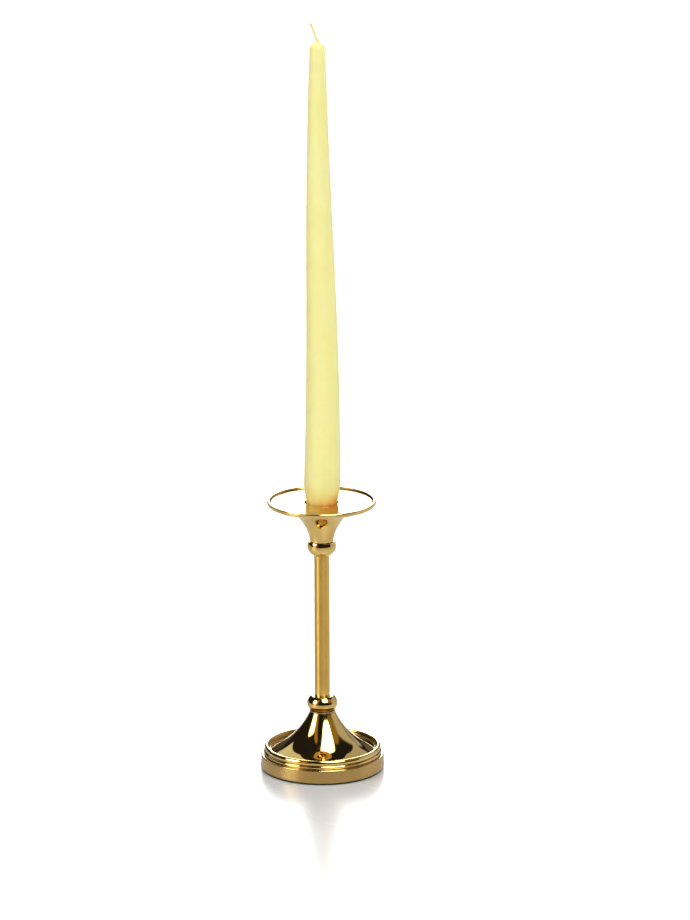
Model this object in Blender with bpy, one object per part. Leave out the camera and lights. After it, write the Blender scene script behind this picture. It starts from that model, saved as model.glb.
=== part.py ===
"""A turned brass candlestick on a weighted round base, with a taper candle standing in its socket.

Units are metres, +Z is up, and the origin is the centre of the felt pad's underside. Lengths below
are given in millimetres and multiplied by MM where a shape is made. Heights called _Z are above the
surface that it stands on.
"""

import math

import bmesh
import bpy

MM = 0.001

# Room left between two pieces that touch.
GAP = 0.3

# Overall sizes that the rest follows from.
BASE_RADIUS = 39.5
HOLDER_HEIGHT = 177.8
PAN_RADIUS = 34.6
TUBE_RADIUS = 4.9
NECK_TOP_Z = 38.6
TUBE_LENGTH = 95.7
CANDLE_RADIUS = 11.64
CANDLE_LENGTH = 307.8

# Weighted base.
PAD_RADIUS = 38.6
PAD_THICKNESS = 0.9
BAND_HEIGHT = 8.5
BAND_WALL = 2.0
BEAD = (36.9, 9.8)
RIM_RADIUS = 35.6
RIM_TOP = 14.2
CHANNEL_RADIUS = 33.4
CHANNEL_HEIGHT = 11.4
CONE_PULLS = ((25.6, 13.2), (14.4, 22.2))
NECK_RADIUS = 8.0
COLLAR_RADIUS = 8.25
COLLAR_HEIGHT = 0.7
NECK_PLATE = 2.5
BALLAST_RADIUS = 36.9
BALLAST_BOTTOM_Z = 2.2

# Ball knops at the two ends of the stem: half width, then the half heights of the curves below and above
# its middle, then how far each is cut off below and above its middle.
LOWER_KNOP = (9.78, 7.08, 7.08)
UPPER_KNOP = (9.2, 7.34, 8.6)
LOWER_KNOP_BELOW, LOWER_KNOP_ABOVE = 4.2, 5.0
UPPER_KNOP_BELOW, UPPER_KNOP_ABOVE = 6.0, 3.4
TUBE_WALL = 0.9
TUBE_SEAT_DEPTH = 1.5

# Trumpet cup, drip pan and socket.
CUP_FOOT_RADIUS = 7.65
CUP_RIM_RADIUS = 24.0
CUP_RIM_THICKNESS = 0.5
CUP_FLOOR = 2.0
PAN_HEIGHT = 3.0
PAN_FLOOR = 1.6
PAN_CORNER = 1.3
PAN_LIP = 0.7
SOCKET_MOUTH_RADIUS = 10.7
SOCKET_FLOOR_RADIUS = 9.1
SOCKET_DEPTH = 12.9
SOCKET_WALL = 0.75
SOCKET_FLANGE_RADIUS = 12.4
SOCKET_FLANGE = 0.4

# Tie rod and its fasteners, an M4 set.
ROD_RADIUS = 2.0
HOLE_RADIUS = 2.4
NUT_ACROSS_FLATS = 7.0
NUT_HEIGHT = 3.2
THIN_NUT_HEIGHT = 2.2
BASE_WASHER = (6.0, 0.8)
SOCKET_WASHER = (4.5, 0.5)
LOCK_WASHER = (3.9, 0.9)
LOCK_WASHER_SPLIT_DEG = 18.0
ROD_END_Z = 1.9
ROD_FACETS = 16
FASTENER_RECESS = (7.5, 5.8)

# Candle and wick.
CANDLE_CLEARANCE = 0.5
BUTT_LENGTH = 17.0
BUTT_RADIUS = 8.4
BODY_START = 20.5
STRAIGHT_SHARE = 0.54
SHOULDER_RADIUS = 5.27
SHOULDER_DROP = 9.2
# Ends and pulls of the crown's curve: each radius with its depth below the candle's top.
TIP_CROWN = ((4.85, 5.2), (4.75, 3.1), (4.3, 2.3), (1.7, 0.8))
TIP_RADIUS = 1.6
TIP_LEAN, BOW, WARP = -1.4, 0.54, 0.69
BORE_RADIUS = 1.05
WICK_RADIUS = 0.7
WICK_SHOWING = 11.4
WICK_LEAN = -4.4
WICK_CURL = 1.3

# Facets round each kind of turned piece: multiples of four, so that each reaches its full width.
WIDE, MEDIUM, FINE = 48, 32, 24


def clear_scene():
    for obj in list(bpy.data.objects):
        bpy.data.objects.remove(obj, do_unlink=True)


def material(name, colour, roughness, metallic):
    made = bpy.data.materials.new(name)
    made.use_nodes = True
    shader = made.node_tree.nodes["Principled BSDF"]
    shader.inputs["Base Color"].default_value = (*colour, 1.0)
    shader.inputs["Roughness"].default_value = roughness
    shader.inputs["Metallic"].default_value = metallic
    return made


def arc(centre, radii, start_deg, end_deg, steps):
    """Points (radius, height) along an elliptical arc, in degrees from the outward direction."""
    angles = [math.radians(start_deg + (end_deg - start_deg) * i / steps) for i in range(steps + 1)]
    return [(centre[0] + radii[0] * math.cos(a), centre[1] + radii[1] * math.sin(a)) for a in angles]


def bezier(p0, p1, p2, p3, steps):
    """Points along a cubic Bezier curve."""
    points = []
    for i in range(steps + 1):
        t = i / steps
        weights = ((1 - t) ** 3, 3 * t * (1 - t) ** 2, 3 * t * t * (1 - t), t ** 3)
        points.append(tuple(sum(w * p[k] for w, p in zip(weights, (p0, p1, p2, p3))) for k in (0, 1)))
    return points


def finish(name, bm, surface, z, smooth=True):
    """Turns a bmesh in millimetres into an object whose lowest point rests at height z."""
    bmesh.ops.scale(bm, vec=(MM, MM, MM), verts=bm.verts)
    bmesh.ops.recalc_face_normals(bm, faces=bm.faces)
    mesh = bpy.data.meshes.new(name)
    bm.to_mesh(mesh)
    bm.free()
    mesh.materials.append(surface)
    if smooth:
        mesh.shade_smooth()
        mesh.set_sharp_from_angle(angle=math.radians(35))
    obj = bpy.data.objects.new(name, mesh)
    obj.location = (0, 0, z * MM)
    bpy.context.collection.objects.link(obj)
    return obj


def turned(name, outline, surface, z=0.0, steps=MEDIUM, sweep=360.0):
    """A piece turned about Z from a closed outline of (radius, height) points that stays off the axis."""
    bm = bmesh.new()
    verts = [bm.verts.new((r, 0, h)) for r, h in outline]
    whole = sweep == 360.0
    if whole:
        geometry = verts + [bm.edges.new((a, b)) for a, b in zip(verts, verts[1:] + verts[:1])]
    else:
        geometry = [bm.faces.new(verts)]
    bmesh.ops.spin(
        bm,
        geom=geometry,
        axis=(0, 0, 1),
        cent=(0, 0, 0),
        angle=math.radians(sweep),
        steps=steps,
        use_merge=whole,
    )
    return finish(name, bm, surface, z)


def cylinder(name, radius, height, surface, z, steps, edge=0.2):
    """A solid disc or rod with its rims chamfered."""
    bm = bmesh.new()
    bmesh.ops.create_cone(
        bm, cap_ends=True, segments=steps, radius1=radius, radius2=radius, depth=height
    )
    bmesh.ops.translate(bm, vec=(0, 0, height / 2), verts=bm.verts)
    rims = [e for e in bm.edges if abs(e.verts[0].co.z - e.verts[1].co.z) < 1e-6]
    bmesh.ops.bevel(bm, geom=rims, offset=edge, segments=1, affect="EDGES")
    return finish(name, bm, surface, z)


def hex_nut(name, height, surface, z):
    """A hexagonal nut: its flats follow the polar equation of a hexagon."""
    def flat(angle):
        return NUT_ACROSS_FLATS / 2 / math.cos(angle % (math.pi / 3) - math.pi / 6)

    def bore(angle):
        return ROD_RADIUS + GAP

    bm = bmesh.new()
    angles = [2 * math.pi * i / FINE for i in range(FINE)]
    rings = []
    for radius_at, level in ((flat, 0), (flat, height), (bore, height), (bore, 0)):
        corners = [(radius_at(a) * math.cos(a), radius_at(a) * math.sin(a), level) for a in angles]
        rings.append([bm.verts.new(corner) for corner in corners])
    for ring, following in zip(rings, rings[1:] + rings[:1]):
        for i in range(FINE):
            j = (i + 1) % FINE
            bm.faces.new((ring[i], ring[j], following[j], following[i]))
    return finish(name, bm, surface, z, smooth=False)


def washer(name, size, surface, z, split_deg=0.0):
    """A flat ring, or a split one whose gap is centred on +X."""
    radius, thickness = size
    inner = ROD_RADIUS + GAP
    outline = [(inner, 0), (radius, 0), (radius, thickness), (inner, thickness)]
    obj = turned(name, outline, surface, z, FINE, 360 - split_deg)
    obj.rotation_euler.z = math.radians(split_deg / 2)
    return obj


def knop(name, radii, below, above, tube_above, surface, z):
    """A flattened ball, cut flat at both ends, drilled for the rod and recessed for the tube's end."""
    width, lower_half, upper_half = radii
    start = -math.degrees(math.asin(below / lower_half))
    end = math.degrees(math.asin(above / upper_half))
    height = below + above
    seat = TUBE_RADIUS + GAP
    outline = arc((0, below), (width, lower_half), start, 0, 6)
    outline += arc((0, below), (width, upper_half), 0, end, 4)[1:]
    if tube_above:
        floor = height - TUBE_SEAT_DEPTH
        outline += [(seat, height), (seat, floor), (HOLE_RADIUS, floor), (HOLE_RADIUS, 0)]
    else:
        outline += [(HOLE_RADIUS, height), (HOLE_RADIUS, TUBE_SEAT_DEPTH), (seat, TUBE_SEAT_DEPTH), (seat, 0)]
    return turned(name, outline, surface, z)


def base_shell(surface, z):
    """The hollow foot: a plain band, a small bead, a rolled rim, a channel and a cone up to the neck."""
    top = NECK_TOP_Z - z
    cone_foot = (CHANNEL_RADIUS, CHANNEL_HEIGHT)
    cone_top = (NECK_RADIUS, top - COLLAR_HEIGHT - 0.1)
    outside = [
        (BASE_RADIUS - 0.5, 0),
        (BASE_RADIUS, 0.6),
        *arc((BASE_RADIUS - 0.9, BAND_HEIGHT - 0.6), (0.6, 0.6), 0, 90, 3),
        (BEAD[0] + 0.5, BAND_HEIGHT),
        *arc(BEAD, (0.85, 1.0), -60, 60, 3),
        *arc((RIM_RADIUS, RIM_TOP - 2.0), (1.6, 2.0), -40, 90, 5),
        *arc((RIM_RADIUS, RIM_TOP - 1.3), (1.2, 1.3), 90, 180, 3)[1:],
        (CHANNEL_RADIUS + 0.7, CHANNEL_HEIGHT + 0.35),
        *bezier(cone_foot, *CONE_PULLS, cone_top, 10),
        (COLLAR_RADIUS, top - COLLAR_HEIGHT),
        (COLLAR_RADIUS, top),
    ]
    inside = [
        (HOLE_RADIUS, top),
        (HOLE_RADIUS, top - NECK_PLATE),
        *bezier(
            (NECK_RADIUS - 1.8, top - NECK_PLATE),
            (CONE_PULLS[1][0] - 1.3, CONE_PULLS[1][1] - 1.6),
            (CONE_PULLS[0][0] - 0.5, CONE_PULLS[0][1] - 2.0),
            (CHANNEL_RADIUS - 0.6, CHANNEL_HEIGHT - 1.7),
            6,
        ),
        (CHANNEL_RADIUS + 1.8, CHANNEL_HEIGHT - 2.0),
        (BASE_RADIUS - BAND_WALL - 0.2, BAND_HEIGHT - 1.5),
        (BASE_RADIUS - BAND_WALL, 0),
    ]
    return turned("base_shell", outside + inside, surface, z, WIDE)


def ballast_weight(surface, z):
    """A cast disc with a raised boss, and a recess below for the fasteners."""
    outline = [
        (BALLAST_RADIUS, 0),
        (BALLAST_RADIUS, 5.3),
        (BALLAST_RADIUS - 2.3, 8.3),
        (23.0, 8.3),
        (12.0, 15.3),
        (HOLE_RADIUS, 15.3),
        (HOLE_RADIUS, FASTENER_RECESS[1]),
        FASTENER_RECESS,
        (FASTENER_RECESS[0], 0),
    ]
    return turned("ballast_weight", outline, surface, z)


def stem_tube(surface, z):
    inner = TUBE_RADIUS - TUBE_WALL
    outline = [(inner, 0), (TUBE_RADIUS, 0), (TUBE_RADIUS, TUBE_LENGTH), (inner, TUBE_LENGTH)]
    return turned("stem_tube", outline, surface, z)


def candle_cup(surface, z, height):
    """The trumpet: a spun wall that rises from a narrow foot and turns out into a rim under the pan."""
    under_rim = height - CUP_RIM_THICKNESS
    outline = [
        *bezier(
            (CUP_FOOT_RADIUS, 0),
            (CUP_FOOT_RADIUS + 0.3, 10.1),
            (CUP_RIM_RADIUS - 3.8, under_rim - 0.1),
            (CUP_RIM_RADIUS, under_rim),
            11,
        ),
        (CUP_RIM_RADIUS, height),
        *bezier(
            (CUP_RIM_RADIUS - 3.0, height),
            (CUP_RIM_RADIUS - 7.5, height - 1.0),
            (CUP_FOOT_RADIUS - 0.8, 10.3),
            (CUP_FOOT_RADIUS - 1.4, CUP_FLOOR),
            7,
        ),
        (HOLE_RADIUS, CUP_FLOOR),
        (HOLE_RADIUS, 0),
    ]
    return turned("candle_cup", outline, surface, z)


def drip_pan(surface, z):
    """A flat disc with a low rolled lip, and a stepped hole that the socket's flange drops into."""
    floor_radius = PAN_RADIUS - 2.3
    hole = SOCKET_MOUTH_RADIUS + SOCKET_WALL + GAP
    ledge = PAN_FLOOR - SOCKET_FLANGE - GAP
    outline = [
        (hole, 0),
        *arc((PAN_RADIUS - PAN_CORNER, PAN_CORNER), (PAN_CORNER, PAN_CORNER), -90, 0, 4),
        *arc((PAN_RADIUS - PAN_LIP, PAN_HEIGHT - PAN_LIP), (PAN_LIP, PAN_LIP), 0, 90, 3),
        (PAN_RADIUS - 1.5, PAN_HEIGHT - 0.1),
        (floor_radius + 0.2, PAN_FLOOR + 0.5),
        (floor_radius - 0.3, PAN_FLOOR),
        (SOCKET_FLANGE_RADIUS + GAP, PAN_FLOOR),
        (SOCKET_FLANGE_RADIUS + GAP, ledge),
        (hole, ledge),
    ]
    return turned("drip_pan", outline, surface, z, WIDE)


def candle_socket(surface, z):
    """A thin tapered cup with a flange at its mouth and a rod hole in its floor."""
    floor = SOCKET_WALL
    mouth = floor + SOCKET_DEPTH
    outline = [
        (HOLE_RADIUS, 0),
        *arc((SOCKET_FLOOR_RADIUS - 0.9, 1.7), (1.6, 1.7), -90, 0, 4),
        (SOCKET_MOUTH_RADIUS + SOCKET_WALL, mouth - SOCKET_FLANGE),
        (SOCKET_FLANGE_RADIUS, mouth - SOCKET_FLANGE),
        (SOCKET_FLANGE_RADIUS, mouth),
        (SOCKET_MOUTH_RADIUS + 0.2, mouth),
        (SOCKET_MOUTH_RADIUS, mouth - 0.2),
        *arc((SOCKET_FLOOR_RADIUS - 1.0, floor + 1.0), (1.0, 1.0), 0, -90, 3),
        (HOLE_RADIUS, floor),
    ]
    return turned("candle_socket", outline, surface, z)


def sideways(height):
    """How far a slightly warped candle's middle is off the axis at a height above its foot."""
    t = height / (CANDLE_LENGTH - SHOULDER_DROP)
    return TIP_LEAN * t * t + BOW * math.sin(math.pi * t) + WARP * math.sin(2 * math.pi * t)


def candle(surface, z):
    """A taper: a narrowed butt, a long convex body, a blunt pointed crown, and a bore for the wick."""
    shoulder = CANDLE_LENGTH - SHOULDER_DROP
    body_steps, bore_steps = 12, 9
    outline = [
        (BORE_RADIUS, 0),
        (BUTT_RADIUS - 0.5, 0),
        (BUTT_RADIUS, 0.6),
        (CANDLE_RADIUS - 0.35, BUTT_LENGTH),
    ]
    for i in range(body_steps + 1):
        t = i / body_steps
        narrowing = STRAIGHT_SHARE * t + (1 - STRAIGHT_SHARE) * t * t
        radius = CANDLE_RADIUS - (CANDLE_RADIUS - SHOULDER_RADIUS) * narrowing
        outline.append((radius, BODY_START + (shoulder - BODY_START) * t))
    crown = [(r, CANDLE_LENGTH - drop) for r, drop in TIP_CROWN]
    outline += bezier(*crown, 5) + [(TIP_RADIUS, CANDLE_LENGTH)]
    outline += [(BORE_RADIUS, CANDLE_LENGTH * (1 - i / bore_steps)) for i in range(bore_steps)]
    obj = turned("candle", outline, surface, z, FINE)
    for vertex in obj.data.vertices:
        vertex.co.x += sideways(vertex.co.z / MM) * MM
    return obj


def wick(surface, z):
    """A waxed string up the candle's bore, whose free end leans over."""
    inside_steps, free_steps = 14, 6
    heights = [GAP * 2 + CANDLE_LENGTH * i / inside_steps for i in range(inside_steps)]
    route = [(sideways(h), h) for h in heights]
    for i in range(free_steps + 1):
        s = i / free_steps
        lean = WICK_LEAN * s ** WICK_CURL
        route.append((sideways(CANDLE_LENGTH) + lean, CANDLE_LENGTH + WICK_SHOWING * s))
    data = bpy.data.curves.new("wick", "CURVE")
    data.dimensions = "3D"
    data.bevel_depth = WICK_RADIUS * MM
    data.bevel_resolution = 2
    data.use_fill_caps = True
    spline = data.splines.new("POLY")
    spline.points.add(len(route) - 1)
    for point, (x, height) in zip(spline.points, route):
        point.co = (x * MM, 0, height * MM, 1)
    data.materials.append(surface)
    obj = bpy.data.objects.new("wick", data)
    obj.location = (0, 0, z * MM)
    bpy.context.collection.objects.link(obj)
    return obj


def group(name, z, members):
    """Parents the members to an empty on the axis and leaves them where they are."""
    empty = bpy.data.objects.new(name, None)
    empty.location = (0, 0, z * MM)
    bpy.context.collection.objects.link(empty)
    for member in members:
        member.parent = empty
        member.location.z -= z * MM


def main():
    clear_scene()
    polished = material("polished_brass", (0.80, 0.58, 0.24), 0.12, 1.0)
    satin = material("satin_brass", (0.72, 0.52, 0.22), 0.28, 1.0)
    iron = material("cast_iron", (0.09, 0.09, 0.10), 0.7, 1.0)
    steel = material("zinc_steel", (0.62, 0.63, 0.65), 0.35, 1.0)
    felt = material("felt", (0.03, 0.05, 0.035), 0.95, 0.0)
    wax = material("wax", (0.93, 0.83, 0.42), 0.45, 0.0)
    string = material("waxed_cotton", (0.90, 0.80, 0.45), 0.7, 0.0)

    shell_z = PAD_THICKNESS + GAP
    lower_knop_z = NECK_TOP_Z + GAP
    lower_knop_top = lower_knop_z + LOWER_KNOP_BELOW + LOWER_KNOP_ABOVE
    tube_z = lower_knop_top - TUBE_SEAT_DEPTH + GAP
    upper_knop_z = tube_z + TUBE_LENGTH + GAP - TUBE_SEAT_DEPTH
    cup_z = upper_knop_z + UPPER_KNOP_BELOW + UPPER_KNOP_ABOVE + GAP
    pan_z = HOLDER_HEIGHT - PAN_HEIGHT
    socket_z = pan_z + PAN_FLOOR - SOCKET_DEPTH - SOCKET_WALL
    socket_washer_z = socket_z + SOCKET_WALL + GAP
    socket_nut_z = socket_washer_z + SOCKET_WASHER[1] + GAP
    rod_top = socket_nut_z + THIN_NUT_HEIGHT
    candle_z = rod_top + CANDLE_CLEARANCE
    base_washer_z = BALLAST_BOTTOM_Z + FASTENER_RECESS[1] - GAP - BASE_WASHER[1]
    lock_washer_z = base_washer_z - GAP - LOCK_WASHER[1]
    base_nut_z = lock_washer_z - GAP - NUT_HEIGHT

    holder = [
        cylinder("felt_pad", PAD_RADIUS, PAD_THICKNESS, felt, 0, WIDE),
        base_shell(polished, shell_z),
        ballast_weight(iron, BALLAST_BOTTOM_Z),
        washer("base_washer", BASE_WASHER, steel, base_washer_z),
        washer("lock_washer", LOCK_WASHER, steel, lock_washer_z, LOCK_WASHER_SPLIT_DEG),
        hex_nut("base_nut", NUT_HEIGHT, steel, base_nut_z),
        knop("lower_knop", LOWER_KNOP, LOWER_KNOP_BELOW, LOWER_KNOP_ABOVE, True, polished, lower_knop_z),
        stem_tube(satin, tube_z),
        knop("upper_knop", UPPER_KNOP, UPPER_KNOP_BELOW, UPPER_KNOP_ABOVE, False, polished, upper_knop_z),
        candle_cup(polished, cup_z, pan_z - GAP - cup_z),
        drip_pan(polished, pan_z),
        candle_socket(polished, socket_z),
        washer("socket_washer", SOCKET_WASHER, steel, socket_washer_z),
        hex_nut("socket_nut", THIN_NUT_HEIGHT, steel, socket_nut_z),
        cylinder("tie_rod", ROD_RADIUS, rod_top - ROD_END_Z, steel, ROD_END_Z, ROD_FACETS),
    ]
    group("holder_axis", 0, holder)
    group("candle_lift_axis", candle_z, [candle(wax, candle_z), wick(string, candle_z)])


main()
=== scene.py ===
import math

import bpy
import numpy as np
from mathutils import Matrix, Vector, noise

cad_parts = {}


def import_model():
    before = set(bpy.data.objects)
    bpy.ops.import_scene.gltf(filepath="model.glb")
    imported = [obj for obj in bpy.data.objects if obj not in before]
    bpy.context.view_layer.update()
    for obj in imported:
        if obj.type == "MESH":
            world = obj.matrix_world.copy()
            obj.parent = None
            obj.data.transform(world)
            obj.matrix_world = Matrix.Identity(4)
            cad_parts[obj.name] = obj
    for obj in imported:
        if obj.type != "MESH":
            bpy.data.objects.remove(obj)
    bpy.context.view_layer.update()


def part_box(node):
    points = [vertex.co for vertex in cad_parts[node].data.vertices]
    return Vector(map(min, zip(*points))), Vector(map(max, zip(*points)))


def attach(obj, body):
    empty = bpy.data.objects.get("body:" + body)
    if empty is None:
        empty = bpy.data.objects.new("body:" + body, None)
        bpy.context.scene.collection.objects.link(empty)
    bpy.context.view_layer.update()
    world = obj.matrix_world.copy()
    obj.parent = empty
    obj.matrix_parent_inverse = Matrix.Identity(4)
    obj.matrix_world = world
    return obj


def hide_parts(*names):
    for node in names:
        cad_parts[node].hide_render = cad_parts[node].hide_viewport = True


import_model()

# A taper candlestick of turned brass with its candle, built round the CAD frame, in metres.

MM = 0.001

# Room between pieces that touch, and the radius that breaks a sharp turned edge.
TOUCH = 0.04 * MM
EDGE = 0.12 * MM

# Facets round a turned piece: wide ones, the rest, and small fasteners.
WIDE, MEDIUM, FINE = 288, 192, 96


# ---------------------------------------------------------------- outlines

def arc(centre, radii, start_deg, end_deg, steps):
    """Points (radius, height) along an elliptical arc, in degrees from the outward direction."""
    (r, h), (wide, tall) = centre, radii
    angles = np.radians(np.linspace(start_deg, end_deg, steps + 1))
    return [(r + wide * math.cos(a), h + tall * math.sin(a)) for a in angles]


def bezier(p0, p1, p2, p3, steps):
    """Points along a cubic Bezier curve."""
    points = []
    for t in np.linspace(0, 1, steps + 1):
        weights = ((1 - t) ** 3, 3 * t * (1 - t) ** 2, 3 * t * t * (1 - t), t ** 3)
        pulls = list(zip(weights, (p0, p1, p2, p3)))
        points.append(tuple(sum(w * p[k] for w, p in pulls) for k in (0, 1)))
    return points


def softened(outline, radius=EDGE, closed=True, sharper_than_deg=24, steps=4):
    """The outline with each sharp corner turned into a small round one."""
    count = len(outline)
    result = []
    for i, (r, h) in enumerate(outline):
        here = Vector((r, h))
        if not closed and i in (0, count - 1):
            result.append((r, h))
            continue
        before = Vector(outline[i - 1]) - here
        after = Vector(outline[(i + 1) % count]) - here
        turn = math.pi - before.angle(after)
        if math.degrees(turn) < sharper_than_deg:
            result.append((r, h))
            continue
        reach = min(radius * math.tan(turn / 2), 0.45 * before.length, 0.45 * after.length)
        start = here + before.normalized() * reach
        end = here + after.normalized() * reach
        for t in np.linspace(0, 1, steps + 1):
            point = start * (1 - t) ** 2 + here * 2 * t * (1 - t) + end * t * t
            result.append((point.x, point.y))
    return result


def marks_along(outline, closed, spread=0.35 * MM, full=0.9):
    """For each point, how deep in a groove it lies and how far out on an edge, both from 0 to 1."""
    points = np.array(outline)
    following = np.roll(points, -1, axis=0) - points
    length = np.hypot(following[:, 0], following[:, 1])
    place_along = np.concatenate([[0], np.cumsum(length)[:-1]])
    heading = np.arctan2(following[:, 1], following[:, 0])
    turn = (heading - np.roll(heading, 1) + math.pi) % (2 * math.pi) - math.pi
    if not closed:
        turn[0] = turn[-1] = 0
    apart = np.abs(place_along[:, None] - place_along[None, :])
    if closed:
        apart = np.minimum(apart, length.sum() - apart)
    near = np.exp(-apart ** 2 / (2 * spread ** 2)) @ turn
    return np.clip(-near / full, 0, 1), np.clip(near / full, 0, 1)


def smooth(value):
    """Eases 0 to 1, and holds outside."""
    value = min(max(value, 0.0), 1.0)
    return value * value * (3 - 2 * value)


# ---------------------------------------------------------------- meshes

def new_piece(name, verts, faces, surface, sharp_deg=38):
    mesh = bpy.data.meshes.new(name)
    mesh.from_pydata([tuple(v) for v in verts], [], faces)
    mesh.materials.append(surface)
    mesh.shade_smooth()
    mesh.set_sharp_from_angle(angle=math.radians(sharp_deg))
    obj = bpy.data.objects.new(name, mesh)
    bpy.context.collection.objects.link(obj)
    return obj


def grid_faces(rows, columns, wrap_rows, wrap_columns=True):
    """Quads of a grid whose rows run up the outside and whose columns run anticlockwise."""
    faces = []
    for i in range(rows if wrap_rows else rows - 1):
        for j in range(columns if wrap_columns else columns - 1):
            k, m = (i + 1) % rows, (j + 1) % columns
            faces.append((i * columns + j, i * columns + m, k * columns + m, k * columns + j))
    return faces


def capped_faces(rows, columns, foot, tip):
    """The grid's quads and a fan at each end, round the vertices numbered foot and tip."""
    faces = grid_faces(rows, columns, False)
    last = (rows - 1) * columns
    for j in range(columns):
        m = (j + 1) % columns
        faces.append((foot, m, j))
        faces.append((tip, last + j, last + m))
    return faces


def turns(count):
    return 2 * math.pi * np.arange(count) / count


def swept(outline, angles):
    """Every point (radius, height) of the outline at every angle round Z."""
    return [(r * math.cos(a), r * math.sin(a), h) for r, h in outline for a in angles]


def set_marks(obj, outline, closed, columns):
    """Stores groove and edge on the vertices, for tarnish and wear."""
    for label, values in zip(("groove", "edge"), marks_along(outline, closed)):
        layer = obj.data.attributes.new(label, "FLOAT", "POINT")
        every = np.repeat(values, columns)
        caps = np.zeros(len(obj.data.vertices) - len(every))
        layer.data.foreach_set("value", np.concatenate([every, caps]).astype(np.float32))


def raise_mark(piece, name, values):
    """Raises the number that each vertex holds under this name, which the materials read."""
    held = np.zeros(len(piece.data.vertices), np.float32)
    mark = piece.data.attributes.get(name)
    if mark:
        mark.data.foreach_get("value", held)
    else:
        mark = piece.data.attributes.new(name, "FLOAT", "POINT")
    mark.data.foreach_set("value", np.maximum(held, values).astype(np.float32))


def turned(name, outline, surface, segments=MEDIUM, soft=EDGE):
    """A piece turned about Z from a closed anticlockwise outline that stays off the axis."""
    outline = softened(outline, soft)
    faces = grid_faces(len(outline), segments, True)
    obj = new_piece(name, swept(outline, turns(segments)), faces, surface)
    set_marks(obj, outline, True, segments)
    return obj


def turned_solid(name, outline, surface, segments=MEDIUM, soft=EDGE):
    """A piece turned about Z from an open outline that starts and ends on the axis."""
    body = softened(outline, soft, closed=False)[1:-1]
    verts = swept(body, turns(segments)) + [(0, 0, outline[0][1]), (0, 0, outline[-1][1])]
    faces = capped_faces(len(body), segments, len(verts) - 2, len(verts) - 1)
    obj = new_piece(name, verts, faces, surface)
    set_marks(obj, body, False, segments)
    return obj


def place(obj, body, slot_name, *nodes):
    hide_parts(*nodes)
    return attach(obj, body)


def low(node):
    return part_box(node)[0].z


def high(node):
    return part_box(node)[1].z


def radius(node):
    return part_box(node)[1].x


# ---------------------------------------------------------------- shader nodes

def add_node(tree, kind, inputs, output=0, **settings):
    """Adds a node, feeds its inputs with sockets or values, and returns one of its outputs."""
    made = tree.nodes.new("ShaderNode" + kind)
    for key, value in settings.items():
        setattr(made, key, value)
    for key, value in inputs.items():
        feed(tree, made.inputs[key], value)
    return made.outputs[output]


def feed(tree, socket, value):
    if isinstance(value, bpy.types.NodeSocket):
        tree.links.new(value, socket)
    else:
        socket.default_value = value


def ramp(tree, value, low_in, high_in, low_out=0.0, high_out=1.0):
    """Eases from low_out to high_out while the value goes from low_in to high_in."""
    inputs = {
        "Value": value,
        "From Min": low_in,
        "From Max": high_in,
        "To Min": low_out,
        "To Max": high_out,
    }
    return add_node(tree, "MapRange", inputs, interpolation_type="SMOOTHSTEP")


def blend(tree, share, first, second, **settings):
    """The first colour where the share is 0, and the second where it is 1."""
    inputs = {0: share, 6: first, 7: second}
    return add_node(tree, "Mix", inputs, output=2, data_type="RGBA", **settings)


class Surface:
    """A material whose nodes are added one call at a time. Inputs are sockets or plain values."""

    def __init__(self, name):
        self.material = bpy.data.materials.new(name)
        self.material.use_nodes = True
        self.tree = self.material.node_tree
        self.shader = self.tree.nodes["Principled BSDF"]
        self.bumps = None

    def add(self, kind, inputs, output=0, **settings):
        return add_node(self.tree, kind, inputs, output, **settings)

    def set(self, **values):
        """Feeds the shader's own sockets: base_color becomes Base Color."""
        for key, value in values.items():
            feed(self.tree, self.shader.inputs[key.replace("_", " ").title()], value)

    def math(self, operation, first, second=0.0):
        return self.add("Math", {0: first, 1: second}, operation=operation)

    def remap(self, value, *limits):
        return ramp(self.tree, value, *limits)

    def mix(self, share, first, second):
        return blend(self.tree, share, first, second)

    def mark(self, label):
        return self.add("Attribute", {}, output="Fac", attribute_name=label)

    def place(self):
        return self.add("TexCoord", {}, output="Object")

    def place_parts(self):
        """The object place's x, y and z, as three sockets."""
        split = self.tree.nodes.new("ShaderNodeSeparateXYZ")
        feed(self.tree, split.inputs[0], self.place())
        return split.outputs

    def stretched(self, x, y, z):
        """The object place with each axis scaled, which sets a pattern's grain per metre."""
        return self.add("VectorMath", {0: self.place(), 1: (x, y, z)}, operation="MULTIPLY")

    def lathe(self, across, along, around):
        """Distance from the axis, height and turn about it, each scaled: marks that run round."""
        x, y, z = self.place_parts()
        squares = self.math("ADD", self.math("MULTIPLY", x, x), self.math("MULTIPLY", y, y))
        out = self.math("SQRT", squares)
        return self.add("CombineXYZ", {
            "X": self.math("MULTIPLY", out, across),
            "Y": self.math("MULTIPLY", z, along),
            "Z": self.math("MULTIPLY", self.math("ARCTAN2", y, x), around),
        })

    def noise(self, vector, scale=1.0, detail=3.0, rough=0.5):
        inputs = {"Vector": vector, "Scale": scale, "Detail": detail, "Roughness": rough}
        return self.add("TexNoise", inputs)

    def bump(self, height, depth):
        """Adds relief to the normal; depth is in metres."""
        inputs = {"Height": height, "Distance": depth, "Strength": 1.0}
        if self.bumps:
            inputs["Normal"] = self.bumps
        self.bumps = self.add("Bump", inputs)
        feed(self.tree, self.shader.inputs["Normal"], self.bumps)


# ---------------------------------------------------------------- materials

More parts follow.
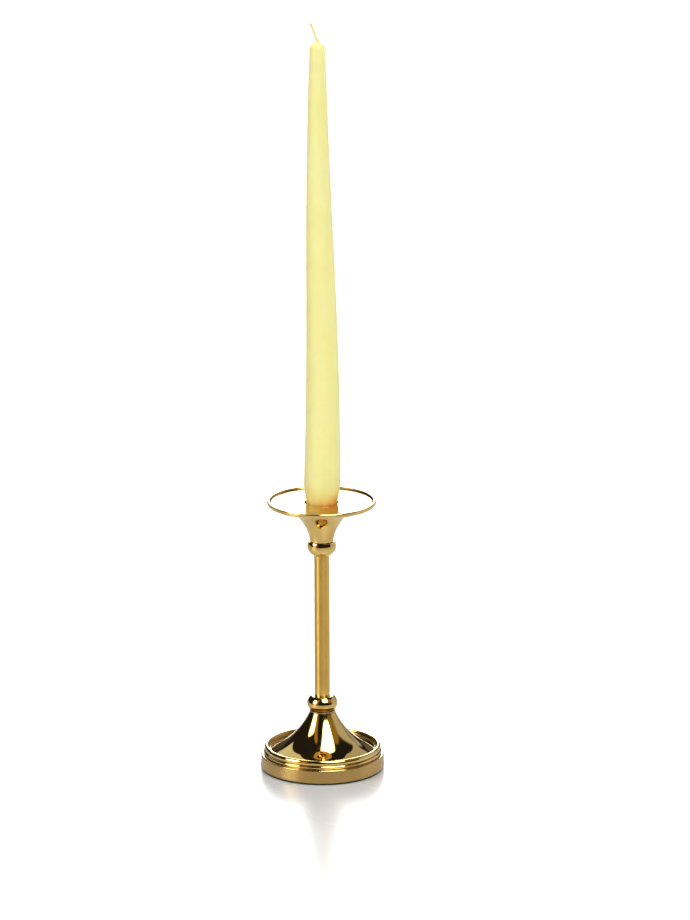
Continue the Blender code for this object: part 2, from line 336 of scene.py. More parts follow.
def brass(name, colour, bright, shine, ring_depth, wave_depth, spread=0.0):
    """Lacquered brass: lathe rings, faint waves, smudges, tarnish in grooves, painted shade where
    the groove mark holds it, bright worn edges.

    Shine is the lowest and the highest roughness, and spread draws reflections out along the axis.
    A piece may have a satin share, marked brushed: rougher, and given a darker tone that is painted
    shade.
    """
    surface = Surface(name)
    deep, tarnish = (0.64, 0.36, 0.09, 1), (0.20, 0.105, 0.025, 1)
    clouds = surface.noise(surface.place(), 55, 4)
    smudges = surface.noise(surface.place(), 190, 6, 0.65)
    specks = surface.noise(surface.place(), 1500, 2)
    rings = surface.noise(surface.lathe(5200, 5200, 1.5), 1, 2)
    hairs = surface.noise(surface.lathe(1700, 1700, 9), 1, 5, 0.7)
    groove, edge = surface.mark("groove"), surface.mark("edge")

    worn = surface.math("MULTIPLY", edge, surface.remap(smudges, 0.35, 0.6))
    # Grooves take the tarnish colour: real tarnish, and painted shade where a piece's groove mark
    # holds it, as on the foot's collar.
    tarnish_and_shade = surface.math("MULTIPLY", groove, surface.remap(clouds, 0.3, 0.7, 0.35, 0.85))
    tone = surface.mix(surface.remap(clouds, 0.42, 0.75, 0.0, 0.5), (*colour, 1), deep)
    tone = surface.mix(surface.remap(specks, 0.70, 0.78, 0.0, 0.5), tone, tarnish)
    tone = surface.mix(worn, tone, (*bright, 1))
    tone = surface.mix(tarnish_and_shade, tone, tarnish)

    brushed = surface.mark("brushed")
    # Painted shade: the brushed share turns to a darker copy of the brass as painted shade; its
    # added roughness below is real satin brushing.
    shaded_satin = (0.54, 0.34, 0.105, 1)
    tone = surface.mix(surface.math("MULTIPLY", brushed, 0.9), tone, shaded_satin)
    film = surface.remap(smudges, 0.42, 0.72, shine[0], shine[1])
    scuffed = surface.math("ADD", film, surface.remap(hairs, 0.5, 0.8, 0.0, 0.05))
    scuffed = surface.math("ADD", scuffed, surface.math("MULTIPLY", brushed, 0.2))
    surface.set(
        base_color=tone,
        metallic=1.0,
        roughness=surface.math("ADD", scuffed, surface.math("MULTIPLY", tarnish_and_shade, 0.3)),
        coat_weight=0.35,
        coat_roughness=0.04,
    )
    if spread:
        round_axis = surface.add("Tangent", {}, direction_type="RADIAL", axis="Z")
        surface.set(anisotropic=spread, anisotropic_rotation=0.25, tangent=round_axis)
    surface.bump(surface.noise(surface.place(), 150, 1), wave_depth)
    surface.bump(hairs, ring_depth)
    surface.bump(rings, ring_depth)
    return surface.material


def cast_iron():
    surface = Surface("cast_iron")
    grain = surface.noise(surface.place(), 900, 6, 0.7)
    rust = surface.noise(surface.place(), 90, 5)
    grey = surface.mix(grain, (0.035, 0.035, 0.038, 1), (0.11, 0.11, 0.115, 1))
    tone = surface.mix(surface.remap(rust, 0.55, 0.72, 0.0, 0.6), grey, (0.13, 0.05, 0.02, 1))
    tone = surface.mix(surface.mark("edge"), tone, (0.2, 0.2, 0.21, 1))
    surface.set(base_color=tone, metallic=0.7, roughness=surface.remap(grain, 0.3, 0.7, 0.5, 0.8))
    surface.bump(surface.noise(surface.place(), 260, 4), 0.12 * MM)
    surface.bump(grain, 0.05 * MM)
    return surface.material


def zinc_steel():
    surface = Surface("zinc_steel")
    flakes = surface.add("TexVoronoi", {"Vector": surface.place(), "Scale": 900.0}, output="Color")
    grain = surface.noise(surface.place(), 700, 5)
    film = surface.remap(surface.noise(surface.place(), 240), 0.35, 0.65)
    tint = surface.mix(film, (0.52, 0.55, 0.60, 1), (0.66, 0.62, 0.50, 1))
    tone = surface.mix(0.08, tint, flakes)
    tone = surface.mix(surface.mark("groove"), tone, (0.12, 0.11, 0.10, 1))
    tone = surface.mix(surface.mark("edge"), tone, (0.75, 0.76, 0.78, 1))
    surface.set(base_color=tone, metallic=1.0, roughness=surface.remap(grain, 0.3, 0.7, 0.22, 0.45))
    surface.bump(surface.noise(surface.lathe(2600, 2600, 2), 1, 3), 0.004 * MM)
    surface.bump(grain, 0.006 * MM)
    return surface.material


def felt():
    surface = Surface("felt")
    fibres = surface.noise(surface.stretched(2600, 2600, 1200), 1, 5, 0.75)
    lumps = surface.noise(surface.place(), 320, 3)
    dark, light = (0.006, 0.010, 0.007, 1), (0.035, 0.05, 0.038, 1)
    tone = surface.mix(surface.remap(fibres, 0.35, 0.7), dark, light)
    tone = surface.mix(surface.remap(lumps, 0.5, 0.7, 0.0, 0.4), tone, (0.05, 0.055, 0.045, 1))
    surface.set(
        base_color=tone,
        roughness=surface.remap(fibres, 0.3, 0.7, 0.85, 1.0),
        sheen_weight=0.25,
    )
    surface.bump(lumps, 0.10 * MM)
    surface.bump(fibres, 0.06 * MM)
    return surface.material


def wax(butt_top):
    """Dipped wax: a pale yellow that lets light in, faint dipping streaks, and a butt painted amber
    as a painted glow from the brass pan, reaching higher on the +X side as painted shade.
    """
    surface = Surface("wax")
    runs = surface.noise(surface.stretched(260, 260, 14), 1, 3)
    mottle = surface.noise(surface.stretched(90, 90, 40), 1, 4)
    pits = surface.noise(surface.place(), 1300, 4, 0.6)
    x, _, height = surface.place_parts()
    deep, pale = (0.95, 0.88, 0.36, 1), (0.96, 0.90, 0.42, 1)
    tone = surface.mix(surface.remap(mottle, 0.35, 0.68), deep, pale)
    tone = surface.mix(surface.remap(runs, 0.5, 0.75, 0.0, 0.35), tone, (0.94, 0.83, 0.29, 1))
    # Painted light: the amber at the butt is a painted glow of the pan's warm light, and the lean
    # with x lifts it on the +X side as painted shade.
    lift = surface.math("MULTIPLY", mottle, 6 * MM)
    shade_to_plus_x = surface.math("MULTIPLY", x, 0.3)
    level = surface.math("ADD", height, surface.math("SUBTRACT", lift, shade_to_plus_x))
    glow_and_shade = surface.remap(level, butt_top - 7.5 * MM, butt_top + 2.5 * MM, 1.0, 0.0)
    tone = surface.mix(glow_and_shade, tone, (0.80, 0.41, 0.07, 1))
    surface.set(
        base_color=tone,
        roughness=surface.remap(mottle, 0.3, 0.7, 0.34, 0.5),
        subsurface_weight=0.6,
        subsurface_radius=(1.0, 0.75, 0.25),
        subsurface_scale=4 * MM,
    )
    surface.bump(runs, 0.05 * MM)
    surface.bump(pits, 0.008 * MM)
    return surface.material


def waxed_cotton():
    surface = Surface("waxed_cotton")
    fibres = surface.noise(surface.stretched(5000, 5000, 1500), 1, 4, 0.7)
    lumps = surface.noise(surface.place(), 700, 3)
    deep, pale = (0.92, 0.75, 0.32, 1), (0.96, 0.86, 0.46, 1)
    tone = surface.mix(surface.remap(fibres, 0.35, 0.65), deep, pale)
    tone = surface.mix(surface.remap(lumps, 0.52, 0.68, 0.0, 0.6), tone, (0.88, 0.68, 0.32, 1))
    surface.set(
        base_color=tone,
        roughness=surface.remap(lumps, 0.3, 0.7, 0.45, 0.7),
        subsurface_weight=0.3,
        subsurface_radius=(1.0, 0.8, 0.4),
        subsurface_scale=1 * MM,
    )
    surface.bump(fibres, 0.03 * MM)
    return surface.material


# The hole for the rod through the brass and the weight, and the candle's butt and shoulder.
ROD_HOLE = 2.4 * MM
BUTT_LENGTH = 17.0 * MM
SHOULDER_DROP = 9.2 * MM

POLISHED = brass(
    "polished_brass",
    colour=(0.78, 0.54, 0.165),
    bright=(0.90, 0.67, 0.27),
    shine=(0.035, 0.10),
    ring_depth=0.0003 * MM,
    wave_depth=0.004 * MM,
)
SATIN = brass(
    "satin_brass",
    colour=(0.80, 0.51, 0.105),
    bright=(0.88, 0.62, 0.20),
    shine=(0.22, 0.27),
    ring_depth=0.0001 * MM,
    wave_depth=0.0004 * MM,
    spread=0.95,
)
IRON = cast_iron()
STEEL = zinc_steel()
FELT = felt()
WAX = wax(low("candle") + BUTT_LENGTH)
COTTON = waxed_cotton()


# ---------------------------------------------------------------- foot

def felt_pad():
    """A pressed disc whose cut edge is slightly ragged."""
    r, top = radius("felt_pad"), low("base_shell") - TOUCH
    across = np.linspace(0.2 * r, r, 9)
    outline = [(0, 0), *[(x, 0) for x in across], *[(x, top) for x in across[::-1]], (0, top)]
    pad = turned_solid("felt_disc", outline, FELT, WIDE, 0.25 * MM)
    for vertex in pad.data.vertices:
        out = vertex.co.xy.length
        if out > 0.98 * r:
            frayed = 0.18 * MM * (0.5 + 0.5 * noise.noise(vertex.co * 900))
            vertex.co.xy *= (out - frayed) / out
    return place(pad, "holder", "felt", "felt_pad")


def base_shell():
    """Plain band, small bead, rolled rim, channel, and a cone that sweeps up to the neck."""
    z, top, width = low("base_shell"), high("base_shell"), radius("base_shell")
    band_top = z + 8.5 * MM
    bead = (width - 2.6 * MM, z + 9.8 * MM)
    rim, rim_top = width - 3.9 * MM, z + 14.2 * MM
    channel, channel_z = width - 6.1 * MM, z + 11.4 * MM
    neck, collar = 8.0 * MM, 8.25 * MM
    outline = [
        (width - 0.5 * MM, z),
        (width, z + 0.6 * MM),
        *arc((width - 0.9 * MM, band_top - 0.6 * MM), (0.6 * MM, 0.6 * MM), 0, 90, 12),
        (bead[0] + 0.5 * MM, band_top),
        *arc(bead, (0.85 * MM, 1.0 * MM), -60, 60, 16),
        *arc((rim, rim_top - 2.0 * MM), (1.6 * MM, 2.0 * MM), -40, 90, 24),
        *arc((rim, rim_top - 1.3 * MM), (1.2 * MM, 1.3 * MM), 90, 180, 16)[1:],
        *bezier(
            (rim - 1.2 * MM, rim_top - 1.8 * MM),
            (rim - 1.3 * MM, channel_z + 0.2 * MM),
            (channel + 0.9 * MM, channel_z),
            (channel, channel_z),
            10,
        ),
        *bezier(
            (channel, channel_z),
            (25.6 * MM, z + 13.2 * MM),
            (14.4 * MM, z + 22.2 * MM),
            (neck, top - 0.8 * MM),
            72,
        )[1:],
        (collar, top - 0.7 * MM),
        (collar, top),
        (ROD_HOLE, top),
        (ROD_HOLE, top - 2.5 * MM),
        *bezier(
            (neck - 1.8 * MM, top - 2.5 * MM),
            (13.1 * MM, z + 20.6 * MM),
            (25.1 * MM, z + 11.2 * MM),
            (channel - 0.6 * MM, channel_z - 1.7 * MM),
            24,
        ),
        (channel + 1.8 * MM, channel_z - 2.0 * MM),
        (width - 2.2 * MM, band_top - 1.5 * MM),
        (width - 2.0 * MM, z),
    ]
    shell = turned("foot_shell", outline, POLISHED, WIDE)
    shaded_satin, collar_shade = [], []
    for vertex in shell.data.vertices:
        out, h = vertex.co.xy.length, vertex.co.z
        # The band and most of the channel inside the rim are brushed: rougher, and darker as
        # painted shade.
        band = smooth((band_top - h) / (0.5 * MM))
        inside_rim = smooth((rim - out) / (0.6 * MM)) * smooth((out - channel) / (0.4 * MM))
        shaded_satin.append(max(band, 0.7 * inside_rim))
        # Painted shade: the top 1 mm, the collar under the lower knop, joins the groove mark, so it
        # takes the tarnish colour as painted shade.
        collar_shade.append(smooth((h - top + 1.0 * MM) / (0.3 * MM)))
    raise_mark(shell, "brushed", shaded_satin)
    raise_mark(shell, "groove", collar_shade)
    return place(shell, "holder", "polished_brass", "base_shell")


def ballast():
    """The cast disc inside the foot, rough on every face that was not machined."""
    z, top, wide = low("ballast_weight"), high("ballast_weight"), radius("ballast_weight")
    recess, recess_top = 7.5 * MM, z + 5.8 * MM
    corners = [
        (recess, z),
        (wide, z),
        (wide, z + 5.3 * MM),
        (wide - 2.3 * MM, z + 8.3 * MM),
        (23 * MM, z + 8.3 * MM),
        (12 * MM, top),
        (ROD_HOLE, top),
        (ROD_HOLE, recess_top),
        (recess, recess_top),
    ]
    outline = []
    for start, end in zip(corners, corners[1:] + corners[:1]):
        steps = max(1, round(math.dist(start, end) / (1.5 * MM)))
        leg = np.array(end) - start
        outline += [tuple(start + leg * i / steps) for i in range(steps)]
    cast = turned("ballast_casting", outline, IRON, WIDE, 0.8 * MM)
    for vertex in cast.data.vertices:
        if vertex.co.xy.length > recess + 1 * MM:
            pitted = 0.12 * MM * (0.5 + 0.5 * noise.noise(vertex.co * 450))
            vertex.co *= 1 - pitted / vertex.co.length
    return place(cast, "holder", "cast_iron", "ballast_weight")


# ---------------------------------------------------------------- stem

def knop(name, node, half_width, lower_half, upper_half, middle, tube_above):
    """A flattened ball, cut flat at both ends, with a seat for the tube at one of them."""
    bottom, top = low(node), high(node)
    seat, depth = radius("stem_tube") + TOUCH, 1.5 * MM
    start = math.degrees(math.asin((bottom - middle) / lower_half))
    end = math.degrees(math.asin((top - middle) / upper_half))
    outline = arc((0, middle), (half_width, lower_half), start, 0, 36)
    outline += arc((0, middle), (half_width, upper_half), 0, end, 36)[1:]
    if tube_above:
        shelf = top - depth
        outline += [(seat, top), (seat, shelf), (ROD_HOLE, shelf), (ROD_HOLE, bottom)]
    else:
        shelf = bottom + depth
        outline += [(ROD_HOLE, top), (ROD_HOLE, shelf), (seat, shelf), (seat, bottom)]
    return place(turned(name, outline, POLISHED), "holder", "polished_brass", node)


def stem_tube():
    """The tube, brushed round. It fills the CAD's gaps at both ends."""
    gap = 0.3 * MM
    bottom, top = low("stem_tube") - gap + TOUCH, high("stem_tube") + gap - TOUCH
    outer = radius("stem_tube")
    inner = outer - 0.9 * MM
    outline = [(inner, bottom), (outer, bottom)]
    outline += [(outer, h) for h in np.linspace(bottom, top, 13)[1:-1]]
    outline += [(outer, top), (inner, top)]
    return place(turned("brushed_stem", outline, SATIN), "holder", "satin_brass", "stem_tube")


# ---------------------------------------------------------------- cup, pan and socket

def candle_cup():
    """The trumpet under the pan."""
    z, top, rim = low("candle_cup"), high("candle_cup"), radius("candle_cup")
    foot = 7.65 * MM
    rim_top = low("drip_pan") - TOUCH
    under_rim = top - 0.5 * MM
    outline = [
        *bezier(
            (foot, z),
            (foot + 0.3 * MM, z + 10.1 * MM),
            (rim - 3.8 * MM, under_rim - 0.1 * MM),
            (rim, under_rim),
            72,
        ),
        (rim, rim_top),
        *bezier(
            (rim - 3.0 * MM, rim_top),
            (rim - 7.5 * MM, top - 1.0 * MM),
            (foot - 0.8 * MM, z + 10.3 * MM),
            (foot - 1.4 * MM, z + 2.0 * MM),
            24,
        ),
        (ROD_HOLE, z + 2.0 * MM),
        (ROD_HOLE, z),
    ]
    return place(turned("trumpet_cup", outline, POLISHED), "holder", "polished_brass", "candle_cup")


def drip_pan():
    """A flat disc with a low rolled lip and a stepped hole for the socket."""
    z, top, width = low("drip_pan"), high("drip_pan"), radius("drip_pan")
    flange_radius = radius("candle_socket")
    flange_low = high("candle_socket") - 0.4 * MM
    floor_z = z + 1.6 * MM
    corner, lip, hole = 1.3 * MM, 0.7 * MM, 11.75 * MM
    outline = [
        (hole, z),
        *arc((width - corner, z + corner), (corner, corner), -90, 0, 20),
        *arc((width - lip, top - lip), (lip, lip), 0, 90, 10),
        (width - 1.5 * MM, top - 0.1 * MM),
        (width - 2.1 * MM, floor_z + 0.5 * MM),
        (width - 2.6 * MM, floor_z),
        (flange_radius + TOUCH, floor_z),
        (flange_radius + TOUCH, flange_low - TOUCH),
        (hole, flange_low - TOUCH),
    ]
    dish = turned("drip_pan_dish", outline, POLISHED, WIDE)
    # The inner wall inside the lip is brushed: rougher, and darker as painted shade.
    inner_wall = []
    for vertex in dish.data.vertices:
        inside_lip = smooth((width - lip - vertex.co.xy.length) / (0.5 * MM))
        inner_wall.append(inside_lip * smooth((vertex.co.z - floor_z) / (0.3 * MM)))
    raise_mark(dish, "brushed", inner_wall)
    return place(dish, "holder", "polished_brass", "drip_pan")


def candle_socket():
    """A thin cup with a flat flange that lies in the pan."""
    z, mouth_z, flange = low("candle_socket"), high("candle_socket"), radius("candle_socket")
    wall, floor_radius, mouth = 0.75 * MM, 9.1 * MM, 10.7 * MM
    floor_z = z + wall
    outline = [
        (ROD_HOLE, z),
        *arc((floor_radius - 0.9 * MM, z + 1.7 * MM), (1.6 * MM, 1.7 * MM), -90, 0, 12),
        (mouth + wall, mouth_z - 0.4 * MM),
        (flange, mouth_z - 0.4 * MM),
        (flange, mouth_z),
        (mouth + 0.2 * MM, mouth_z),
        (mouth, mouth_z - 0.2 * MM),
        *arc((floor_radius - 1.0 * MM, floor_z + 1.0 * MM), (1.0 * MM, 1.0 * MM), 0, -90, 12),
        (ROD_HOLE, floor_z),
    ]
    liner = turned("socket_liner", outline, POLISHED)
    return place(liner, "holder", "polished_brass", "candle_socket")


# ---------------------------------------------------------------- tie rod and fasteners

ROD_RADIUS = 2.0 * MM
PITCH = 0.7 * MM


def hex_nut(name, node):
    """Its corners are turned off at 30 degrees on both faces, and its bore is countersunk."""
    bottom, top = low(node), high(node)
    flats = 3.5 * MM
    face, blunt = 0.95 * flats, 1.12 * flats
    bore, mouth, sink = 2.06 * MM, 2.35 * MM, 0.3 * MM
    angles = turns(FINE)
    hexagon = np.minimum(flats / np.cos(angles % (math.pi / 3) - math.pi / 6), blunt)
    fall = (hexagon - face) * math.tan(math.radians(30))
    even = np.zeros(FINE)
    rings = [
        (face + even, bottom + even),
        (hexagon, bottom + fall),
        (hexagon, top - fall),
        (face + even, top + even),
        (mouth + even, top + even),
        (bore + even, top - sink + even),
        (bore + even, bottom + sink + even),
        (mouth + even, bottom + even),
    ]
    verts = []
    for radii, heights in rings:
        verts += [(r * math.cos(a), r * math.sin(a), h) for a, r, h in zip(angles, radii, heights)]
    nut = new_piece(name, verts, grid_faces(len(rings), FINE, True), STEEL, 25)
    return place(nut, "holder", "zinc_steel", node)


def flat_section(node, bore, outer):
    """The section of a flat ring as high as the node."""
    bottom, top = low(node), high(node)
    return [(bore, bottom), (outer, bottom), (outer, top), (bore, top)]


def flat_washer(name, node):
    outline = flat_section(node, 2.15 * MM, radius(node))
    return place(turned(name, outline, STEEL, FINE, 0.15 * MM), "holder", "zinc_steel", node)


def split_washer(name, node, split_deg=18.0):
    """A spring washer, cut through on its +X side, so its radius is read on the other."""
    outer = -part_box(node)[0].x
    ring = softened(flat_section(node, 2.3 * MM, outer), 0.15 * MM)
    angles = np.radians(np.linspace(split_deg / 2, 360 - split_deg / 2, FINE))
    faces = grid_faces(len(ring), FINE, True, wrap_columns=False)
    starts = [i * FINE for i in range(len(ring))]
    faces += [tuple(starts), tuple(s + FINE - 1 for s in reversed(starts))]
    washer = new_piece(name, swept(ring, angles), faces, STEEL)
    return place(washer, "holder", "zinc_steel", node)


def tie_rod():
    """An M4 rod with a real helical thread at each end and a plain shank between."""
    bottom, top = low("tie_rod"), high("tie_rod")
    threaded, fade, depth, bevel = 16 * MM, 0.8 * MM, 0.32 * MM, 0.4 * MM
    fine = PITCH / 8
    heights = np.concatenate([
        np.arange(bottom, bottom + threaded + fade, fine),
        np.linspace(bottom + threaded + 2 * fade, top - threaded - 2 * fade, 12),
        np.arange(top - threaded - fade, top, fine),
        [top],
    ])
    columns = FINE // 2
    verts = []
    for h in heights:
        from_end = min(h - bottom, top - h)
        share = smooth((threaded + fade - from_end) / fade)
        tip = ROD_RADIUS - max(0, bevel - from_end)
        for a in turns(columns):
            phase = (h / PITCH - a / (2 * math.pi)) % 1
            cut = depth * share * min(max(1.3 * abs(2 * phase - 1) - 0.15, 0), 1)
            r = min(ROD_RADIUS - cut, tip)
            verts.append((r * math.cos(a), r * math.sin(a), h))
    verts += [(0, 0, bottom), (0, 0, top)]
    faces = capped_faces(len(heights), columns, len(verts) - 2, len(verts) - 1)
    rod = new_piece("threaded_rod", verts, faces, STEEL, 30)
    return place(rod, "holder", "zinc_steel", "tie_rod")


# ---------------------------------------------------------------- candle

def sideways(h):
    """How far the slightly warped candle's middle is off the axis at height h."""
    foot = low("candle")
    t = (h - foot) / (high("candle") - SHOULDER_DROP - foot)
    return (-1.4 * t * t + 0.54 * math.sin(math.pi * t) + 0.69 * math.sin(2 * math.pi * t)) * MM


def candle():
    """A dipped taper: ribbed butt, body a little out of true, shoulder, and wax up the wick."""
    foot, tip = low("candle"), high("candle")
    shoulder, butt = tip - SHOULDER_DROP, foot + BUTT_LENGTH
    widest, narrow = 11.64 * MM, 5.27 * MM
    butt_radius, ribs, rib_depth = 8.4 * MM, 12, 0.05
    wave = 0.05 * MM
    outline = [(butt_radius - 0.8 * MM, foot)]
    outline += bezier(
        (butt_radius, foot + 0.7 * MM),
        (10.1 * MM, foot + 10 * MM),
        (11.2 * MM, butt - 2.0 * MM),
        (widest - 0.04 * MM, butt + 3.4 * MM),
        40,
    )
    body_start = butt + 3.5 * MM
    for t in np.linspace(0.004, 1, 150):
        narrowing = (widest - narrow) * (0.54 * t + 0.46 * t * t)
        outline.append((widest - narrowing, body_start + (shoulder - body_start) * t))
    outline += bezier(
        (4.85 * MM, tip - 5.2 * MM),
        (4.75 * MM, tip - 3.1 * MM),
        (4.3 * MM, tip - 2.3 * MM),
        (1.7 * MM, tip - 0.8 * MM),
        24,
    )
    outline += bezier(
        (1.6 * MM, tip - 0.7 * MM),
        (1.3 * MM, tip - 0.5 * MM),
        (1.05 * MM, tip - 0.4 * MM),
        (0.9 * MM, tip),
        8,
    )
    angles = turns(MEDIUM)
    verts = []
    for r, h in outline:
        middle = sideways(h)
        ribbed = rib_depth * smooth((butt + 1.5 * MM - h) / (9 * MM))
        waving = smooth((r - 2 * MM) / (3 * MM))
        inset = wave * smooth((r - 2 * MM) / MM)
        for a in angles:
            rib = 1 - ribbed * (0.5 + 0.5 * math.cos(ribs * a)) ** 2
            direction = Vector((math.cos(a), math.sin(a), 0))
            dip = wave * noise.noise(Vector((direction.x * 1.6, direction.y * 1.6, h * 28)))
            out = r * rib + dip * waving - inset
            verts.append((middle + out * direction.x, out * direction.y, h))
    verts += [(0, 0, foot), (sideways(tip), 0, tip)]
    faces = capped_faces(len(outline), MEDIUM, len(verts) - 2, len(verts) - 1)
    taper = new_piece("wax_taper", verts, faces, WAX)
    return place(taper, "taper_candle", "wax", "candle")


def wick():
    """A waxed braid that leans over, a little lumpy, with a drop of wax at its end."""
    tip = high("candle")
    top = high("wick") - 0.15 * MM
    # It leans to -X, bends as it rises, and sets off a little to that side of the wax's tip.
    lean, curl, shift = -4.4 * MM, 1.3, 0.5 * MM
    rows, columns = 150, 36
    plaits, crossings = 3, 4.5
    verts = []
    for s in np.linspace(-0.2, 1, rows):
        free = max(s, 0)
        start = sideways(tip) - shift * smooth(free / 0.25)
        centre = Vector((start + (lean + shift) * free ** curl, 0, tip + (top - tip) * s))
        along = Vector((lean * curl * free ** (curl - 1), 0, top - tip)).normalized()
        side = Vector((along.z, 0, -along.x))
        thick = 0.84 * MM + 0.10 * MM * noise.noise(Vector((0, 0, s * 6)))
        drop = 0.22 * MM * math.exp(-((s - 0.93) / 0.07) ** 2)
        root = 0.45 * MM * smooth((0.3 - s) / 0.4)
        thick += drop + root
        ending = math.sqrt(max(0.0, 1 - (max(s - 0.955, 0) / 0.046) ** 2))
        twist = 2 * math.pi * crossings * s
        for a in turns(columns):
            one_way = abs(math.cos(plaits * (a - twist) / 2))
            other_way = abs(math.cos(plaits * (a + twist) / 2))
            relief = 0.12 * MM * (max(one_way, other_way) - 0.8) * smooth((0.9 - s) / 0.1)
            r = ending * (thick + relief)
            verts.append(centre + side * (r * math.cos(a)) + Vector((0, r * math.sin(a), 0)))
    verts += [Vector((sideways(tip), 0, verts[0].z)), verts[-1].copy()]
    faces = capped_faces(rows, columns, len(verts) - 2, len(verts) - 1)
    braid = new_piece("braided_wick", verts, faces, COTTON, 60)
    return place(braid, "taper_candle", "waxed_cotton", "wick")


# ---------------------------------------------------------------- studio

def camera():
    """Stands 4.4 m away and looks down on the object through a long lens."""
    distance, height, aside = 4.180, 1.374, 0.0150
    pitch_deg, roll_deg = 15.637, -0.20
    data = bpy.data.cameras.new("camera")
    data.lens = 268.2
    data.sensor_width = 36.0
    data.clip_end = 100.0
    obj = bpy.data.objects.new("camera", data)
    look = Matrix.Rotation(math.radians(90 - pitch_deg), 4, "X")
    roll = Matrix.Rotation(math.radians(roll_deg), 4, "Z")
    obj.matrix_world = Matrix.Translation((aside, -distance, height)) @ look @ roll
    bpy.context.collection.objects.link(obj)
    bpy.context.scene.camera = obj


def floor():
    """A pale glossy sheet."""
    surface = Surface("floor")
    grain = surface.noise(surface.place(), 5, 2)
    surface.set(
        base_color=surface.mix(grain, (0.562, 0.562, 0.557, 1), (0.572, 0.572, 0.567, 1)),
        roughness=surface.remap(grain, 0.3, 0.7, 0.265, 0.275),
    )
    surface.shader.inputs["IOR"].default_value = 1.4
    half = 6.0
    mesh = bpy.data.meshes.new("floor")
    corners = [(-half, -half, 0), (half, -half, 0), (half, half, 0), (-half, half, 0)]
    mesh.from_pydata(corners, [], [(0, 1, 2, 3)])
    mesh.materials.append(surface.material)
    obj = bpy.data.objects.new("floor", mesh)
    bpy.context.collection.objects.link(obj)


def outward(azimuth_deg):
    """The level direction at an azimuth: 0 is towards the camera, 90 is to its right."""
    a = math.radians(azimuth_deg)
    return Vector((math.sin(a), -math.cos(a), 0))


def upright(azimuth_deg, along, height, half_width, half_height, lean_deg=0.0):
    """Centre and half sides of a board 1 m off that faces the object. A lean tips its top left."""
    facing, level, up = outward(azimuth_deg), outward(azimuth_deg + 90), Vector((0, 0, 1))
    c, s = math.cos(math.radians(lean_deg)), math.sin(math.radians(lean_deg))
    centre = facing + level * along + up * height
    return centre, (level * c + up * s) * half_width, (up * c - level * s) * half_height


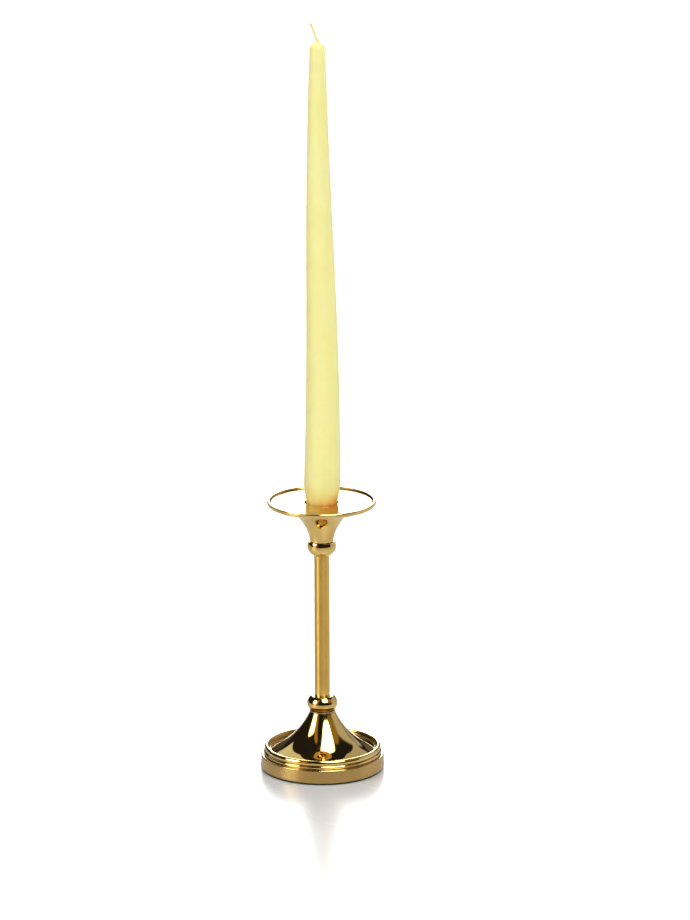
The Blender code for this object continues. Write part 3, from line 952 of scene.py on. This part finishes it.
def world():
    """A dim room with lit boards round it that reflections show; the background itself is white."""
    room = (0.018, 0.017, 0.020)
    overhead = (
        Vector((0.314, -0.356, 1.303)),
        Vector((0.358, 0.107, -0.025)),
        Vector((-0.075, 0.437, 0.611)),
    )
    # Name, centre and half sides, squareness of the corners, softness of the border, radiance.
    # A later board covers an earlier one.
    boards = (
        ("backdrop", upright(180, 0, 0.5, 0.17, 0.7), 6, 0.05, (5.6, 5.6, 5.6)),
        ("back left", upright(-149, 0, 1.13, 0.27, 0.60), 8, 0.05, (0.80, 0.86, 0.90)),
        ("back right", upright(149, 0, 1.07, 0.26, 0.53), 8, 0.05, (0.53, 0.53, 0.56)),
        ("left gap", upright(-161, 0, 0.22, 0.13, 0.20), 4, 0.1, (0.072, 0.07, 0.06)),
        ("right gap", upright(164, 0, 0.3, 0.09, 0.17), 4, 0.1, (0.13, 0.13, 0.11)),
        ("right wall", upright(108, 0.2, 0.13, 0.80, 0.65, -15), 5, 0.15, (0.56, 0.57, 0.62)),
        ("wall's end", upright(141, 0, 0.18, 0.15, 0.28), 4, 0.25, (0.36, 0.36, 0.38)),
        ("warm left", upright(-43, 0, 1.2, 0.16, 1.3), 3, 0.3, (0.42, 0.265, 0.09)),
        ("warm right", upright(68, 0, 1.15, 0.45, 0.7), 3, 0.3, (0.32, 0.225, 0.07)),
        ("left softbox foot", upright(-60, 0, 0.1, 0.20, 0.26), 5, 0.25, (0.9, 0.85, 0.75)),
        ("left softbox", upright(-67, 0, 0.70, 0.27, 0.46, 9), 5, 0.20, (5.5, 5.5, 5.5)),
        ("top softbox", overhead, 4, 0.05, (6.0, 6.0, 6.0)),
    )
    made = bpy.data.worlds.new("studio")
    made.use_nodes = True
    tree = made.node_tree
    tree.nodes.clear()
    look = add_node(tree, "TexCoord", {}, "Generated")

    def reach(vector):
        """How far the direction looked at goes along the vector."""
        return add_node(tree, "VectorMath", {0: look, 1: vector}, "Value", operation="DOT_PRODUCT")

    def math_node(operation, *inputs):
        return add_node(tree, "Math", dict(enumerate(inputs)), operation=operation)

    def share(reading, centre, half, nearness, power):
        """How far the point looked at is from the board's middle, in half sides, to a power."""
        point = math_node("DIVIDE", reading, nearness)
        off = math_node("SUBTRACT", point, centre.dot(half) / half.length_squared)
        return math_node("POWER", math_node("ABSOLUTE", off), power)

    total = (*room, 1)
    for name, (centre, across, up), power, soft, radiance in boards:
        normal = across.cross(up)
        nearness = reach(normal / centre.dot(normal))
        sum_of_both = math_node(
            "ADD",
            share(reach(across / across.length_squared), centre, across, nearness, power),
            share(reach(up / up.length_squared), centre, up, nearness, power),
        )
        reached = math_node("POWER", sum_of_both, 1 / power)
        mask = ramp(tree, reached, 1 - soft, 1 + soft, 1.0, 0.0)
        mask = math_node("MULTIPLY", mask, math_node("GREATER_THAN", nearness, 0.0))
        total = blend(tree, mask, total, (*radiance, 1), label=name)
    seen = add_node(tree, "LightPath", {}, "Is Camera Ray")
    total = blend(tree, seen, total, (1, 1, 1, 1), label="white background")
    background = add_node(tree, "Background", {"Color": total})
    output = tree.nodes.new("ShaderNodeOutputWorld")
    tree.links.new(background, output.inputs["Surface"])
    bpy.context.scene.world = made
    bpy.context.scene.view_settings.view_transform = "Standard"


def fill_light():
    """A broad lamp low on the right that evens out the candle; polished faces don't show it."""
    data = bpy.data.lights.new("fill", "AREA")
    data.shape = "RECTANGLE"
    data.size, data.size_y = 2.4, 0.6
    data.energy = 17.0
    obj = bpy.data.objects.new("fill", data)
    away, distance, height = outward(28), 3.0, 0.42
    stand = Matrix.Translation(away * distance + Vector((0, 0, height)))
    obj.matrix_world = stand @ away.to_track_quat("Z", "Y").to_matrix().to_4x4()
    obj.visible_camera = False
    obj.visible_glossy = False
    bpy.context.collection.objects.link(obj)


# ---------------------------------------------------------------- build

camera()
felt_pad()
base_shell()
ballast()
knop(
    "lower_ball",
    "lower_knop",
    half_width=9.78 * MM,
    lower_half=7.08 * MM,
    upper_half=7.08 * MM,
    middle=low("lower_knop") + 4.2 * MM,
    tube_above=True,
)
stem_tube()
knop(
    "upper_ball",
    "upper_knop",
    half_width=9.2 * MM,
    lower_half=7.34 * MM,
    upper_half=8.6 * MM,
    middle=low("upper_knop") + 6.0 * MM,
    tube_above=False,
)
candle_cup()
drip_pan()
candle_socket()
flat_washer("base_disc_washer", "base_washer")
split_washer("spring_washer", "lock_washer")
hex_nut("base_hex_nut", "base_nut")
flat_washer("socket_disc_washer", "socket_washer")
hex_nut("socket_hex_nut", "socket_nut")
tie_rod()
candle()
wick()
floor()
world()
fill_light()
